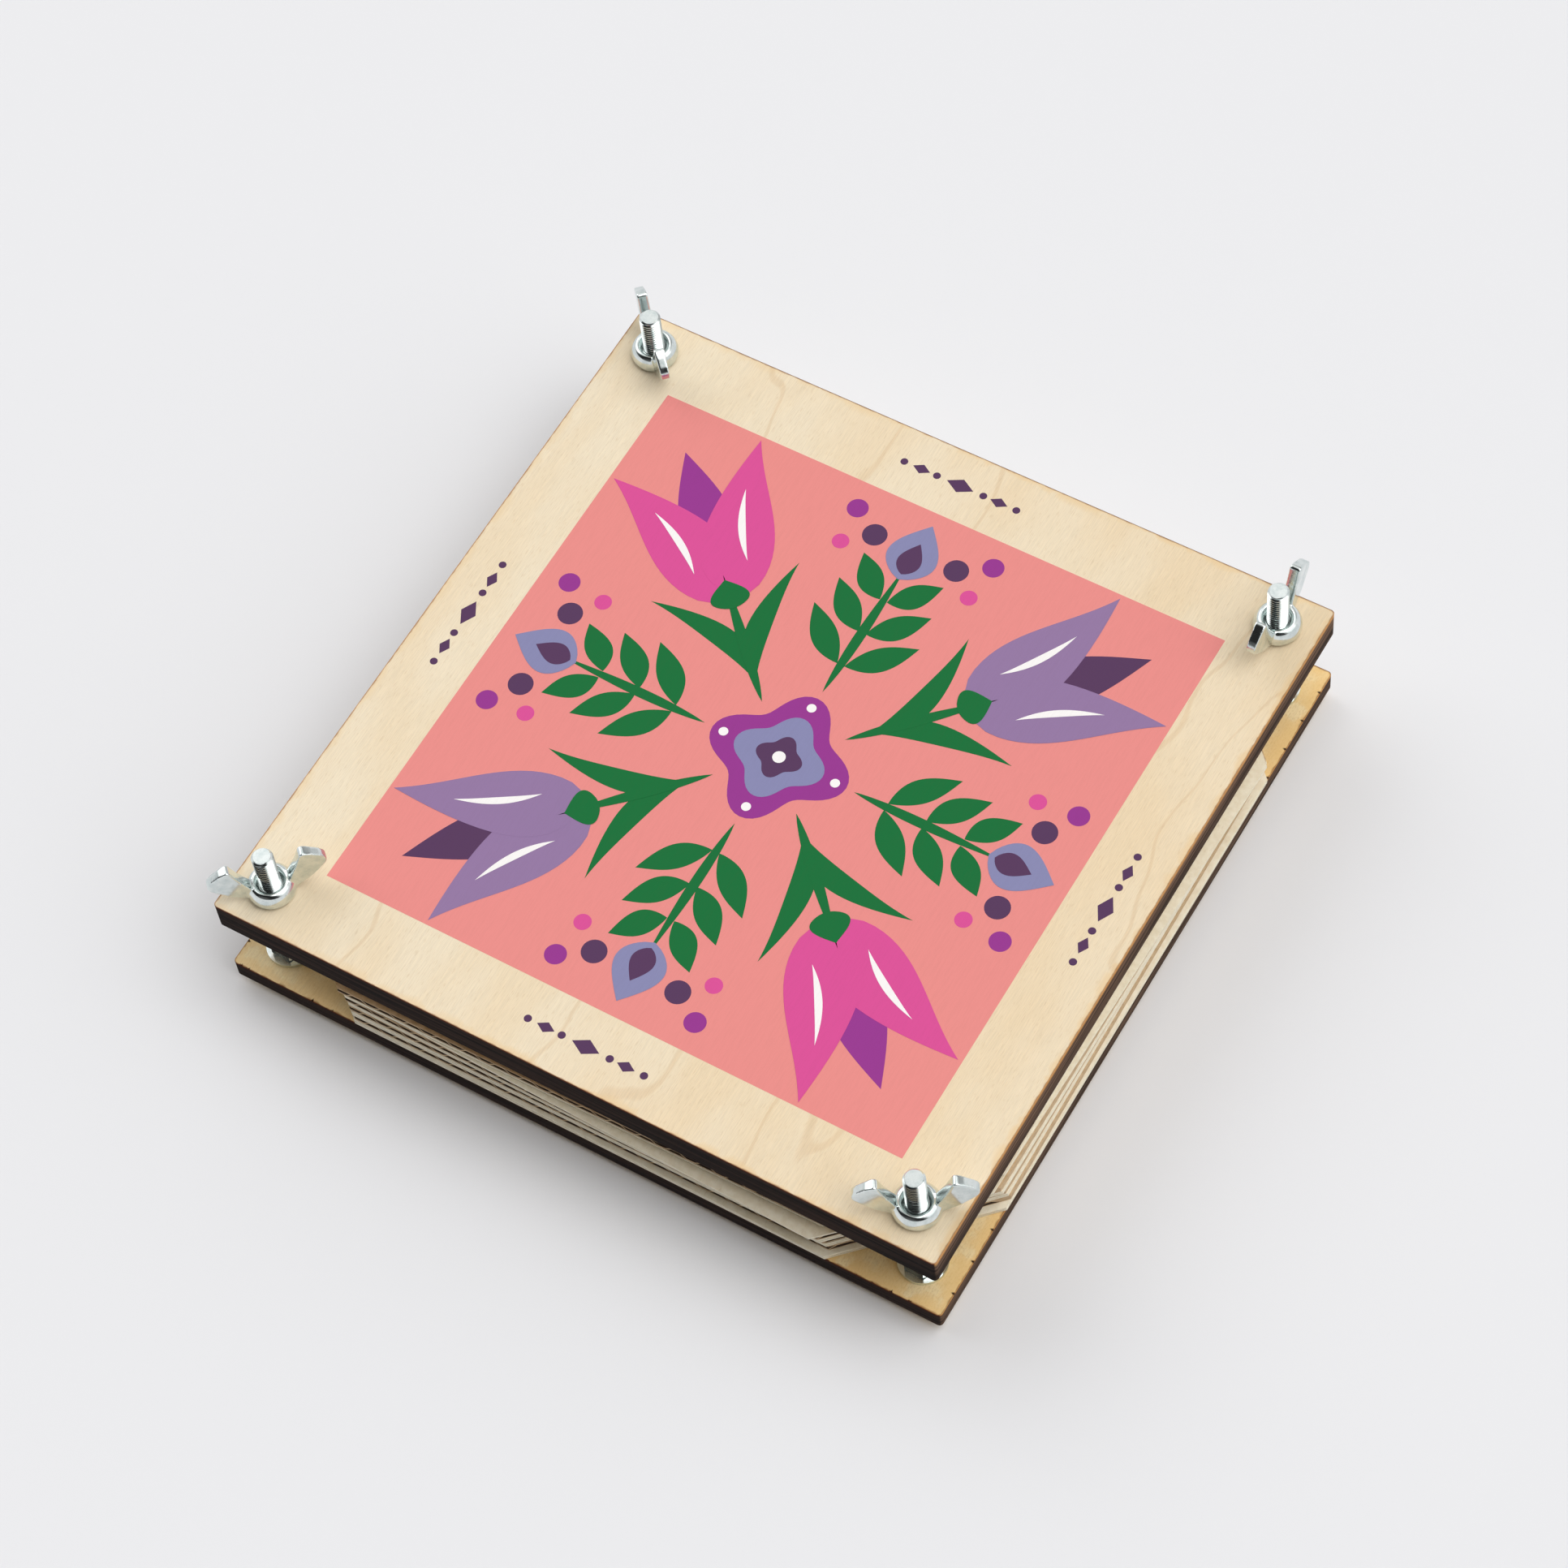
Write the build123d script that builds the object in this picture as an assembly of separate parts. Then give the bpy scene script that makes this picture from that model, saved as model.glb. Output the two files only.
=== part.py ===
from build123d import *
from math import hypot, sqrt
import os

# A flower press. Two square plywood boards hold a stack of corrugated cards and blotting
# papers. Four M5 bolts stand in the base board, and wing nuts on them press the top board down.
# The press stands on its bolt heads, at z = 0, with the middle of the boards above the origin.
# The front edge of the boards is at -Y. Lengths are in millimetres.

# Boards
board_width = 180.0
board_corner_radius = 1.0
top_board_thickness = 8.0
base_board_thickness = 5.0

# Bolts: slotted pan heads below the base board, shanks up through both boards
bolt_inset = 9.5
bolt_diameter = 5.0
bolt_projection = 14.6
bolt_end_chamfer = 0.6
head_diameter = 9.5
head_height = 3.0
head_edge_chamfer = 0.5
driver_slot_width = 1.2
driver_slot_depth = 1.2

# Plain washers and hexagon nuts that clamp the bolts to the base board
washer_diameter = 11.2
washer_thickness = 1.0
hex_across_flats = 8.0
hex_height = 4.0
hex_corner_drop = 0.5

# Wing nuts
boss_diameter = 11.0
boss_height = 4.4
boss_seat_diameter = 9.6
boss_rim_bottom = 1.0
boss_rim_top = 2.6
boss_crest_diameter = 8.0
boss_mouth_diameter = 7.2
countersink_depth = 1.3
wing_reach = 13.8
wing_outer_height = 8.7
wing_top_height = 13.1
wing_top_reach = 7.9
wing_end_bulge_height = 0.5
wing_inner_corner_radius = 1.2
wing_outer_corner_radius = 1.8
wing_root_thickness = 3.0
wing_tip_thickness = 2.0
wing_inner_dip_height = 0.4
wing_outer_bulge_height = 1.0
wing_root_reach = 3.0
wing_root_top = 2.6
wing_root_bottom = 0.9

# Sheets between the boards. Their corners are cut off so that they clear the washers even
# where a sheet has slipped as far as it may from the middle of the boards.
sheet_width = 176.0
sheet_slip = 2.5
sheet_washer_clearance = 0.3
paper_thickness = 0.56
papers_per_leaf = 3
leaf_count = 5

# Corrugated card: two liners with a fluted sheet between them
liner_thickness = 0.25
flute_height = 1.3
flute_pitch = 7.3
flute_wall_thickness = 0.25
flute_wall_run = 1.3
flute_side_margin = 1.5

# Clearances around the bolts
board_hole_clearance = 0.25
washer_hole_clearance = 0.15
thread_clearance = 0.05

# How each leaf's papers and card lie: shifts along X and Y as shares of the slip, and a turn
# in degrees. The first leaf is the lowest. In the last leaf but one, the lowest paper has
# slipped out on its own.
paper_shift_shares = ((0.90, -0.84), (0.48, -0.54), (0.68, -0.68), (0.00, -0.38), (-0.48, 0.42))
card_shift_shares = ((0.58, -0.47), (0.46, -0.54), (0.64, -0.77), (-0.60, -0.38), (-0.58, 0.49))
paper_angles = (0.0, 0.6, -0.15, 0.95, 0.3)
card_angles = (0.7, 0.35, -0.3, 0.9, 0.2)
paper_stagger_shares = ((0.0, 0.0), (-0.07, 0.06), (0.04, -0.04))
paper_stagger_angles = (0.0, 0.1, -0.08)
slipped_shift_shares = (0.78, -0.97)
slipped_angle = -1.2

# Where the bolts stand, and how far each wing nut is turned from the X axis, as a share of
# a full turn
corner_signs = {
    "front_left": (-1, -1),
    "front_right": (1, -1),
    "back_right": (1, 1),
    "back_left": (-1, 1),
}
wing_turn_shares = {
    "front_left": 0.125,
    "front_right": 0.0875,
    "back_right": 0.25,
    "back_left": -0.125,
}
full_turn_angle = 360

# Levels and sizes that follow from the values above
bolt_offset = board_width / 2 - bolt_inset
bolt_radius = bolt_diameter / 2
bore_radius = bolt_radius + thread_clearance
board_hole_radius = bolt_radius + board_hole_clearance
card_thickness = 2 * liner_thickness + flute_height
paper_pile = papers_per_leaf * paper_thickness
leaf_height = paper_pile + card_thickness
washer_to_cut = sqrt(2) * sheet_slip + sheet_washer_clearance
bolt_to_cut = washer_diameter / 2 + washer_to_cut
cut_reach = sqrt(2) * bolt_offset - bolt_to_cut
base_bottom = head_height
base_top = base_bottom + base_board_thickness
stack_top = base_top + leaf_count * leaf_height
top_face = stack_top + top_board_thickness
bolt_end = top_face + bolt_projection
standing = (Align.CENTER, Align.CENTER, Align.MIN)


def bolt_places():
    """The bolt axes, as x and y."""
    return [(x * bolt_offset, y * bolt_offset) for x, y in corner_signs.values()]


def board(thickness):
    """A square board with rounded corners and four bolt holes, lying on z = 0."""
    outline = RectangleRounded(board_width, board_width, board_corner_radius)
    holes = [Pos(x, y) * Circle(board_hole_radius) for x, y in bolt_places()]
    return extrude(outline - holes, amount=thickness)


def bolt():
    """A pan-head bolt, head down, with its head's flat underside on z = 0."""
    head = extrude(Circle(head_diameter / 2), amount=head_height)
    head = chamfer(head.edges().group_by(Axis.Z)[0], head_edge_chamfer)
    slot = Box(head_diameter, driver_slot_width, driver_slot_depth, align=standing)
    shank = Pos(0, 0, head_height) * extrude(Circle(bolt_radius), amount=bolt_end - head_height)
    shank = chamfer(shank.edges().group_by(Axis.Z)[-1], bolt_end_chamfer)
    return head - slot + shank


def washer():
    """A flat ring."""
    ring = Circle(washer_diameter / 2) - Circle(bolt_radius + washer_hole_clearance)
    return extrude(ring, amount=washer_thickness)


def hex_nut():
    """A hexagon nut whose corners are turned down at both ends."""
    flat_radius = hex_across_flats / 2
    corner_radius = hex_across_flats / sqrt(3)
    blank = extrude(RegularPolygon(corner_radius, 6) - Circle(bore_radius), amount=hex_height)
    turned_outline = Polyline(
        (0, 0),
        (flat_radius, 0),
        (corner_radius, hex_corner_drop),
        (corner_radius, hex_height - hex_corner_drop),
        (flat_radius, hex_height),
        (0, hex_height),
        close=True,
    )
    return blank & revolve(Plane.XZ * make_face(turned_outline), Axis.Z)


def wing_boss():
    """The round middle of a wing nut: a ring, widest around its rim, with a countersunk bore."""
    outline = Polyline(
        (bore_radius, 0),
        (boss_seat_diameter / 2, 0),
        (boss_diameter / 2, boss_rim_bottom),
        (boss_diameter / 2, boss_rim_top),
        (boss_crest_diameter / 2, boss_height),
        (boss_mouth_diameter / 2, boss_height),
        (bore_radius, boss_height - countersink_depth),
        close=True,
    )
    return revolve(Plane.XZ * make_face(outline), Axis.Z)


def bowed(start, end, height):
    """An arc from start to end whose middle lies to the left of the chord by height."""
    run = end[0] - start[0]
    rise = end[1] - start[1]
    length = hypot(run, rise)
    middle = (
        (start[0] + end[0]) / 2 - height * rise / length,
        (start[1] + end[1]) / 2 + height * run / length,
    )
    return ThreePointArc(start, middle, end)


def wing():
    """One wing along +X: a flat lobe that rises outwards, thinner towards its rounded end."""
    root_top = (wing_root_reach, wing_root_top)
    top = (wing_top_reach, wing_top_height)
    outer = (wing_reach, wing_outer_height)
    root_bottom = (boss_seat_diameter / 2, wing_root_bottom)
    lobe = make_face(
        [
            bowed(root_top, top, -wing_inner_dip_height),
            bowed(top, outer, wing_end_bulge_height),
            bowed(outer, root_bottom, wing_outer_bulge_height),
            Line(root_bottom, root_top),
        ]
    )
    lobe = fillet(lobe.vertices().sort_by_distance((*top, 0))[0], wing_inner_corner_radius)
    lobe = fillet(lobe.vertices().sort_by_distance((*outer, 0))[0], wing_outer_corner_radius)
    blank = extrude(Plane.XZ * lobe, amount=wing_root_thickness, both=True)
    plan = make_face(
        Polyline(
            (wing_root_reach, -wing_root_thickness / 2),
            (wing_reach, -wing_tip_thickness / 2),
            (wing_reach, wing_tip_thickness / 2),
            (wing_root_reach, wing_root_thickness / 2),
            close=True,
        )
    )
    return blank & extrude(plan, amount=wing_top_height + wing_end_bulge_height)


def wing_nut():
    """A cold-formed wing nut with its seat on z = 0 and its wings along the X axis."""
    blade = wing()
    bore = extrude(Circle(bore_radius), amount=boss_height)
    mouth = Pos(0, 0, boss_height - countersink_depth) * Cone(
        bore_radius,
        boss_mouth_diameter / 2,
        countersink_depth,
        align=standing,
    )
    wings = blade + Rot(0, 0, 180) * blade - bore - mouth
    return wing_boss() + wings


def sheet_outline():
    """The square outline of a sheet, with its corners cut off in front of the bolts."""
    cuts = Rot(0, 0, 45) * Rectangle(2 * cut_reach, 2 * cut_reach)
    return Rectangle(sheet_width, sheet_width) & cuts


def blotting_paper():
    """One sheet of blotting paper on z = 0."""
    return extrude(sheet_outline(), amount=paper_thickness)


def flute_cells():
    """The open cells of a card, seen along the flutes: every other one is upside down."""
    half_pitch = flute_pitch / 2
    wide_half = (half_pitch + flute_wall_run - flute_wall_thickness) / 2
    narrow_half = wide_half - flute_wall_run
    cell_height = flute_height - flute_wall_thickness
    usable_side = sheet_width - 2 * flute_side_margin
    count = int((usable_side - 2 * wide_half) / half_pitch) + 1
    cells = []
    for i in range(count):
        upright = i % 2 == 0
        low_half = wide_half if upright else narrow_half
        high_half = narrow_half if upright else wide_half
        floor = liner_thickness if upright else liner_thickness + flute_wall_thickness
        cell = make_face(
            Polyline(
                (-low_half, 0),
                (low_half, 0),
                (high_half, cell_height),
                (-high_half, cell_height),
                close=True,
            )
        )
        cells.append(Pos((i - (count - 1) / 2) * half_pitch, floor) * cell)
    return cells


def corrugated_card():
    """One card on z = 0, with its flutes along the Y axis and open at the front and back."""
    section = Pos(0, card_thickness / 2) * Rectangle(sheet_width, card_thickness) - flute_cells()
    slab = extrude(Plane.XZ * section, amount=sheet_width / 2, both=True)
    return slab & extrude(sheet_outline(), amount=card_thickness)


def sheet_place(shift, stagger, turn, level):
    """Where a sheet lies: its shares of the slip, a turn and a level."""
    x = (shift[0] + stagger[0]) * sheet_slip
    y = (shift[1] + stagger[1]) * sheet_slip
    return Pos(x, y, level) * Rot(0, 0, turn)


def leaf_sheets():
    """The papers and the card of every leaf, each in its place, from the lowest up."""
    paper = blotting_paper()
    card = corrugated_card()
    sheets = {}
    for leaf in range(leaf_count):
        floor = base_top + leaf * leaf_height
        for layer in range(papers_per_leaf):
            stagger = paper_stagger_shares[layer % len(paper_stagger_shares)]
            turn = paper_angles[leaf] + paper_stagger_angles[layer % len(paper_stagger_angles)]
            level = floor + layer * paper_thickness
            place = sheet_place(paper_shift_shares[leaf], stagger, turn, level)
            if leaf == leaf_count - 2 and layer == 0:
                place = sheet_place(slipped_shift_shares, (0, 0), slipped_angle, level)
            sheets[f"blotting_paper_{leaf * papers_per_leaf + layer + 1}"] = place * paper
        place = sheet_place(card_shift_shares[leaf], (0, 0), card_angles[leaf], floor + paper_pile)
        sheets[f"corrugated_card_{leaf + 1}"] = place * card
    return sheets


def corner_hardware():
    """The bolt, washer, hexagon nut and wing nut of each corner, each in its place."""
    pieces = {}
    for corner, (x_sign, y_sign) in corner_signs.items():
        axis = Pos(x_sign * bolt_offset, y_sign * bolt_offset, 0)
        pieces[f"bolt_{corner}"] = axis * bolt()
        pieces[f"base_washer_{corner}"] = axis * Pos(0, 0, base_top) * washer()
        pieces[f"base_nut_{corner}"] = axis * Pos(0, 0, base_top + washer_thickness) * hex_nut()
        turned_nut = Rot(0, 0, full_turn_angle * wing_turn_shares[corner]) * wing_nut()
        pieces[f"wing_nut_{corner}"] = axis * Pos(0, 0, top_face) * turned_nut
    return pieces


press = {
    "base_board": Pos(0, 0, base_bottom) * board(base_board_thickness),
    "top_board": Pos(0, 0, stack_top) * board(top_board_thickness),
    **corner_hardware(),
    **leaf_sheets(),
}

os.makedirs("parts", exist_ok=True)
for name, piece in press.items():
    export_step(piece, f"parts/{name}.step")
print(f"{len(press)} pieces, {bolt_end:.1f} mm high, bolts {bolt_end - head_height:.1f} mm long")
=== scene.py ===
# %% [markdown]
# # A flower press
# Two square plywood boards squeeze a stack of corrugated cards and blotting papers. Four bolts stand
# in the lower board, and wing nuts on them press the upper board down.
#
# The pieces come from a CAD model, in metres, and this lesson gives them their finish. What the CAD
# model leaves plain, such as threads, cast wings and the printed panel, is modelled here.

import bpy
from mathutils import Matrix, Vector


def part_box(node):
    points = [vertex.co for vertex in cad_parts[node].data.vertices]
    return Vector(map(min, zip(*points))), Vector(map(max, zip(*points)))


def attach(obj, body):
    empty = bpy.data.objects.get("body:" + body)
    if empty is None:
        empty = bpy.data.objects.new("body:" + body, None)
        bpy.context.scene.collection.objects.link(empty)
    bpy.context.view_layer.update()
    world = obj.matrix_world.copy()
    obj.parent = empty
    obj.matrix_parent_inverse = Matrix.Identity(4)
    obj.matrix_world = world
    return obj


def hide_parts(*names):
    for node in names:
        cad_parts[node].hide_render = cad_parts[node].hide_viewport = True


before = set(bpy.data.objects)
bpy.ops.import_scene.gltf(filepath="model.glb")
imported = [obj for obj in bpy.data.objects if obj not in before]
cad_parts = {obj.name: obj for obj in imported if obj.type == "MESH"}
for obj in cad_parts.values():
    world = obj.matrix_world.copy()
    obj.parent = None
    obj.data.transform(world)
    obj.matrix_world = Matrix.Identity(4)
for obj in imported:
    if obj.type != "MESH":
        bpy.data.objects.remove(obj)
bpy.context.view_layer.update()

# %% [markdown]
# ## Measures
# Everything that is added has to fit the boards and bolts, so their sizes are read from the model
# instead of being typed again. Typed sizes are millimetres times `MM`.

# %% Read the sizes of the boards and bolts
import math
from contextlib import contextmanager

import bpy
from mathutils import Matrix, Vector

MM = 0.001
merge_distance = 0.002 * MM
CORNERS = ("front_left", "front_right", "back_right", "back_left")

top_low, top_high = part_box("top_board")
base_low, base_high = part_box("base_board")
board_half = top_high.x
board_corner = 1.0 * MM
hole_radius = 2.75 * MM


def bolt_axis(corner):
    """Where a bolt stands, read from its box."""
    low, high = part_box(f"bolt_{corner}")
    return Vector(((low.x + high.x) / 2, (low.y + high.y) / 2, 0))


bolt_offset = bolt_axis("back_right").x
print(f"boards {2 * board_half / MM:.1f} mm, bolts {bolt_offset / MM:.1f} mm from the middle")

# %% [markdown]
# ## Working like a modeller
# Blender's operators act on whatever is selected. The loaded pieces arrive selected, so each step
# here starts by selecting one object alone. The edit mode helper makes sure that we always come back
# to object mode, and the modifier helper adds, sets and applies in one go.

# %% Helpers for selecting, editing and modifiers


def work_on(piece):
    """Select one object and make it the active one."""
    bpy.ops.object.select_all(action="DESELECT")
    piece.select_set(True)
    bpy.context.view_layer.objects.active = piece


@contextmanager
def editing(piece):
    """Edit mode on one object, with all of it selected."""
    work_on(piece)
    bpy.ops.object.mode_set(mode="EDIT")
    bpy.ops.mesh.select_all(action="SELECT")
    yield
    bpy.ops.object.mode_set(mode="OBJECT")


def apply_modifier(piece, kind, **settings):
    """Add a modifier, set it and apply it."""
    work_on(piece)
    bpy.ops.object.modifier_add(type=kind)
    modifier = piece.modifiers[-1]
    for setting, value in settings.items():
        setattr(modifier, setting, value)
    bpy.ops.object.modifier_apply(modifier=modifier.name)


def close_up(piece):
    """Merge doubled points, then turn all faces outwards."""
    with editing(piece):
        bpy.ops.mesh.remove_doubles(threshold=merge_distance)
        bpy.ops.mesh.normals_make_consistent(inside=False)


def shape_ring(name, points):
    """A circle primitive whose points are pulled to an outline, given as 3-D points in mm."""
    bpy.ops.object.select_all(action="DESELECT")
    bpy.ops.mesh.primitive_circle_add(vertices=len(points), fill_type="NGON")
    piece = bpy.context.object
    piece.name = name
    for vertex, point in zip(piece.data.vertices, points):
        vertex.co = Vector(point) * MM
    return piece


def join(pieces, name):
    """Join objects into the first one."""
    work_on(pieces[0])
    for piece in pieces:
        piece.select_set(True)
    bpy.ops.object.join()
    pieces[0].name = name
    pieces[0].data.name = name
    return pieces[0]


def copy_at(piece, name, place, turn=0):
    """A copy with its own mesh, turned about the Z axis and moved, with its place in its mesh."""
    copy = piece.copy()
    copy.data = piece.data.copy()
    copy.name = name
    copy.data.name = name
    bpy.context.scene.collection.objects.link(copy)
    copy.location = place
    copy.rotation_euler = (0, 0, turn)
    work_on(copy)
    bpy.ops.object.transform_apply(location=True, rotation=True, scale=True)
    return copy


print("helpers ready")

# %% [markdown]
# ## The camera
# The press is seen from above its front right corner with a long lens, so the far edges are only a
# little shorter than the near ones. A Track To constraint would aim the camera too, but it can't give
# the slight roll. So the place and the angles were worked out from the corners of the top board, and
# the camera's axes are built from them.

# %% Set the camera
focal_pixels = 5730.24
image_pixels = 1932
sensor_width = 36.0
camera_place = Vector((322.51, -421.92, 901.25)) * MM
camera_elevation = math.radians(58.871)
camera_azimuth = math.radians(37.366)
camera_roll = math.radians(8.124)

backward = Vector(
    (
        math.sin(camera_azimuth) * math.cos(camera_elevation),
        -math.cos(camera_azimuth) * math.cos(camera_elevation),
        math.sin(camera_elevation),
    )
)
level_right = Vector((math.cos(camera_azimuth), math.sin(camera_azimuth), 0))
level_down = (-backward).cross(level_right)
camera_x = level_right * math.cos(camera_roll) + level_down * math.sin(camera_roll)
camera_y = backward.cross(camera_x)

bpy.ops.object.select_all(action="DESELECT")
bpy.ops.object.camera_add()
camera = bpy.context.object
camera.data.sensor_width = sensor_width
camera.data.lens = sensor_width * focal_pixels / image_pixels
turn = Matrix((camera_x, camera_y, backward)).transposed()
camera.matrix_world = Matrix.Translation(camera_place) @ turn.to_4x4()
bpy.context.scene.camera = camera
bpy.context.scene.view_settings.view_transform = "Standard"
print(f"lens {camera.data.lens:.1f} mm")

# %% [markdown]
# ## Building materials from nodes
# A finish is a small tree of nodes. Wiring it by hand means many clicks, and in code many lines, so
# these helpers make a node, set its inputs and link it at once. An input may be a number, a colour or
# the output of another node.

# %% Helpers for nodes


def srgb(red, green, blue):
    """A colour as a paint program gives it, from 0 to 255, made linear."""
    channels = []
    for value in (red, green, blue):
        share = value / 255
        channels.append(share / 12.92 if share <= 0.04045 else ((share + 0.055) / 1.055) ** 2.4)
    return (*channels, 1)


def node(tree, kind, inputs=None, **settings):
    """Add a node, with its settings and inputs."""
    made = tree.nodes.new(kind)
    for setting, value in settings.items():
        setattr(made, setting, value)
    for key, value in (inputs or {}).items():
        if isinstance(value, bpy.types.NodeSocket):
            tree.links.new(value, made.inputs[key])
        else:
            made.inputs[key].default_value = value
    return made


def calc(tree, operation, first, second=0.0):
    """A Math node's result."""
    return node(tree, "ShaderNodeMath", {0: first, 1: second}, operation=operation).outputs[0]


def remap(tree, value, low, high, to_low=0.0, to_high=1.0):
    """A value carried smoothly from one range to another, and kept inside it."""
    inputs = {"Value": value, "From Min": low, "From Max": high, "To Min": to_low, "To Max": to_high}
    return node(tree, "ShaderNodeMapRange", inputs, interpolation_type="SMOOTHSTEP").outputs[0]


def mix(tree, factor, first, second, blend="MIX"):
    """Two colours mixed."""
    inputs = {0: factor, 6: first, 7: second}
    made = node(tree, "ShaderNodeMix", inputs, data_type="RGBA", blend_type=blend)
    return made.outputs[2]


def object_place(tree):
    """Object coordinates: metres in the press's own frame."""
    return node(tree, "ShaderNodeTexCoord").outputs["Object"]


def noise(tree, grain, detail=2.0, roughness=0.5, offset=(0, 0, 0)):
    """Noise whose marks have the given size in mm along X, Y and Z."""
    scale = [1 / (size * MM) for size in grain]
    placed = {"Vector": object_place(tree), "Scale": scale, "Location": offset}
    mapping = node(tree, "ShaderNodeMapping", placed)
    inputs = {"Vector": mapping.outputs[0], "Scale": 1.0, "Detail": detail, "Roughness": roughness}
    return node(tree, "ShaderNodeTexNoise", inputs).outputs["Fac"]


def bump(tree, height, strength, distance):
    """A bump from a height that varies over the surface."""
    inputs = {"Height": height, "Strength": strength, "Distance": distance}
    return node(tree, "ShaderNodeBump", inputs).outputs[0]


def new_material(name):
    """A material with its tree and its shader."""
    material = bpy.data.materials.new(name)
    material.use_nodes = True
    return material, material.node_tree, material.node_tree.nodes["Principled BSDF"]


def new_group(name, inputs, outputs):
    """A node group with float inputs and the given outputs."""
    group = bpy.data.node_groups.new(name, "ShaderNodeTree")
    for socket in inputs:
        group.interface.new_socket(socket, in_out="INPUT", socket_type="NodeSocketFloat")
    for socket in outputs:
        group.interface.new_socket(socket, in_out="OUTPUT", socket_type="NodeSocketFloat")
    return group, node(group, "NodeGroupInput").outputs, node(group, "NodeGroupOutput").inputs


def use_group(tree, group, inputs):
    """A group placed in a material."""
    made = tree.nodes.new("ShaderNodeGroup")
    made.node_tree = group
    for key, value in inputs.items():
        if isinstance(value, bpy.types.NodeSocket):
            tree.links.new(value, made.inputs[key])
        else:
            made.inputs[key].default_value = value
    return made.outputs


def dress(material, *names):
    """Give a material to CAD nodes."""
    for name in names:
        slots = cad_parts[name].data.materials
        slots.clear()
        slots.append(material)


print("node helpers ready")

# %% [markdown]
# ## How far from a cut edge
# The boards are cut out with a laser, which burns every edge that it makes: the outline and the bolt
# holes. The burn could be painted on a picture, but then once for every side of each board. Instead, a
# group works out how far a point lies from the nearest cut, from its place alone, so the burn follows
# the real outline. It is the distance to a rounded square, compared with the distance to the nearest
# bolt hole. The second output tells the sides apart: 1 on the left and right, 0 elsewhere.

# %% Group: distance to the nearest laser cut
cut_group, cut_in, cut_out = new_group(
    "laser_cut", ("Half Width", "Corner Radius", "Bolt Offset", "Hole Radius"), ("Distance", "Side")
)


def folded(tree, less):
    """The absolute X and Y of a point, less a length."""
    parts = node(tree, "ShaderNodeSeparateXYZ", {0: object_place(tree)}).outputs
    return [calc(tree, "SUBTRACT", calc(tree, "ABSOLUTE", parts[i]), less) for i in range(2)]


def length(tree, pair):
    """The length of a pair of values taken as a vector."""
    squares = [calc(tree, "MULTIPLY", value, value) for value in pair]
    return calc(tree, "SQRT", calc(tree, "ADD", *squares))


inner_half = calc(cut_group, "SUBTRACT", cut_in["Half Width"], cut_in["Corner Radius"])
past = folded(cut_group, inner_half)
outside = length(cut_group, [calc(cut_group, "MAXIMUM", value, 0.0) for value in past])
inside = calc(cut_group, "MINIMUM", calc(cut_group, "MAXIMUM", *past), 0.0)
beyond = calc(cut_group, "ADD", outside, inside)
from_outline = calc(cut_group, "SUBTRACT", cut_in["Corner Radius"], beyond)
from_axis = length(cut_group, folded(cut_group, cut_in["Bolt Offset"]))
from_hole = calc(cut_group, "SUBTRACT", from_axis, cut_in["Hole Radius"])
cut_group.links.new(calc(cut_group, "MINIMUM", from_outline, from_hole), cut_out["Distance"])
side_lead = calc(cut_group, "SUBTRACT", past[0], past[1])
side_blend = 0.3 * MM
cut_group.links.new(remap(cut_group, side_lead, -side_blend, side_blend), cut_out["Side"])
print("group:", cut_group.name)

# %% [markdown]
# ## Birch grain
# Birch veneer is pale and calm. Its fibres are short fine ticks along the grain, here along Y. A slow
# blotch shifts it between cream and tan, and a few wavy growth lines cross it. Noise that is stretched
# along Y gives the ticks and the blotch, and a wave texture, bent by its own noise, the growth lines.

# %% Group: birch grain
grain_group, grain_in, grain_out = new_group(
    "birch_grain", ("Line Width",), ("Ticks", "Fibre", "Blotch", "Lines")
)
ticks = noise(grain_group, (0.22, 1.9, 0.22), detail=1.0)
grain_group.links.new(remap(grain_group, ticks, 0.58, 0.72), grain_out["Ticks"])
grain_group.links.new(noise(grain_group, (0.20, 6.0, 0.20)), grain_out["Fibre"])
blotch = noise(grain_group, (16.0, 42.0, 16.0), detail=3.0)
grain_group.links.new(remap(grain_group, blotch, 0.35, 0.66), grain_out["Blotch"])
line_stretch = (1.0, 0.45, 1.0)
line_place = node(grain_group, "ShaderNodeMapping", {0: object_place(grain_group), "Scale": line_stretch})
wave = {0: line_place.outputs[0], "Scale": 7.5, "Distortion": 11.0, "Detail": 3.0, "Detail Scale": 2.6}
growth = node(grain_group, "ShaderNodeTexWave", wave, bands_direction="X")
line_start = calc(grain_group, "SUBTRACT", 1.0, grain_in["Line Width"])
grain_group.links.new(remap(grain_group, growth.outputs["Fac"], line_start, 1.0), grain_out["Lines"])
print("group:", grain_group.name)
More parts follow.
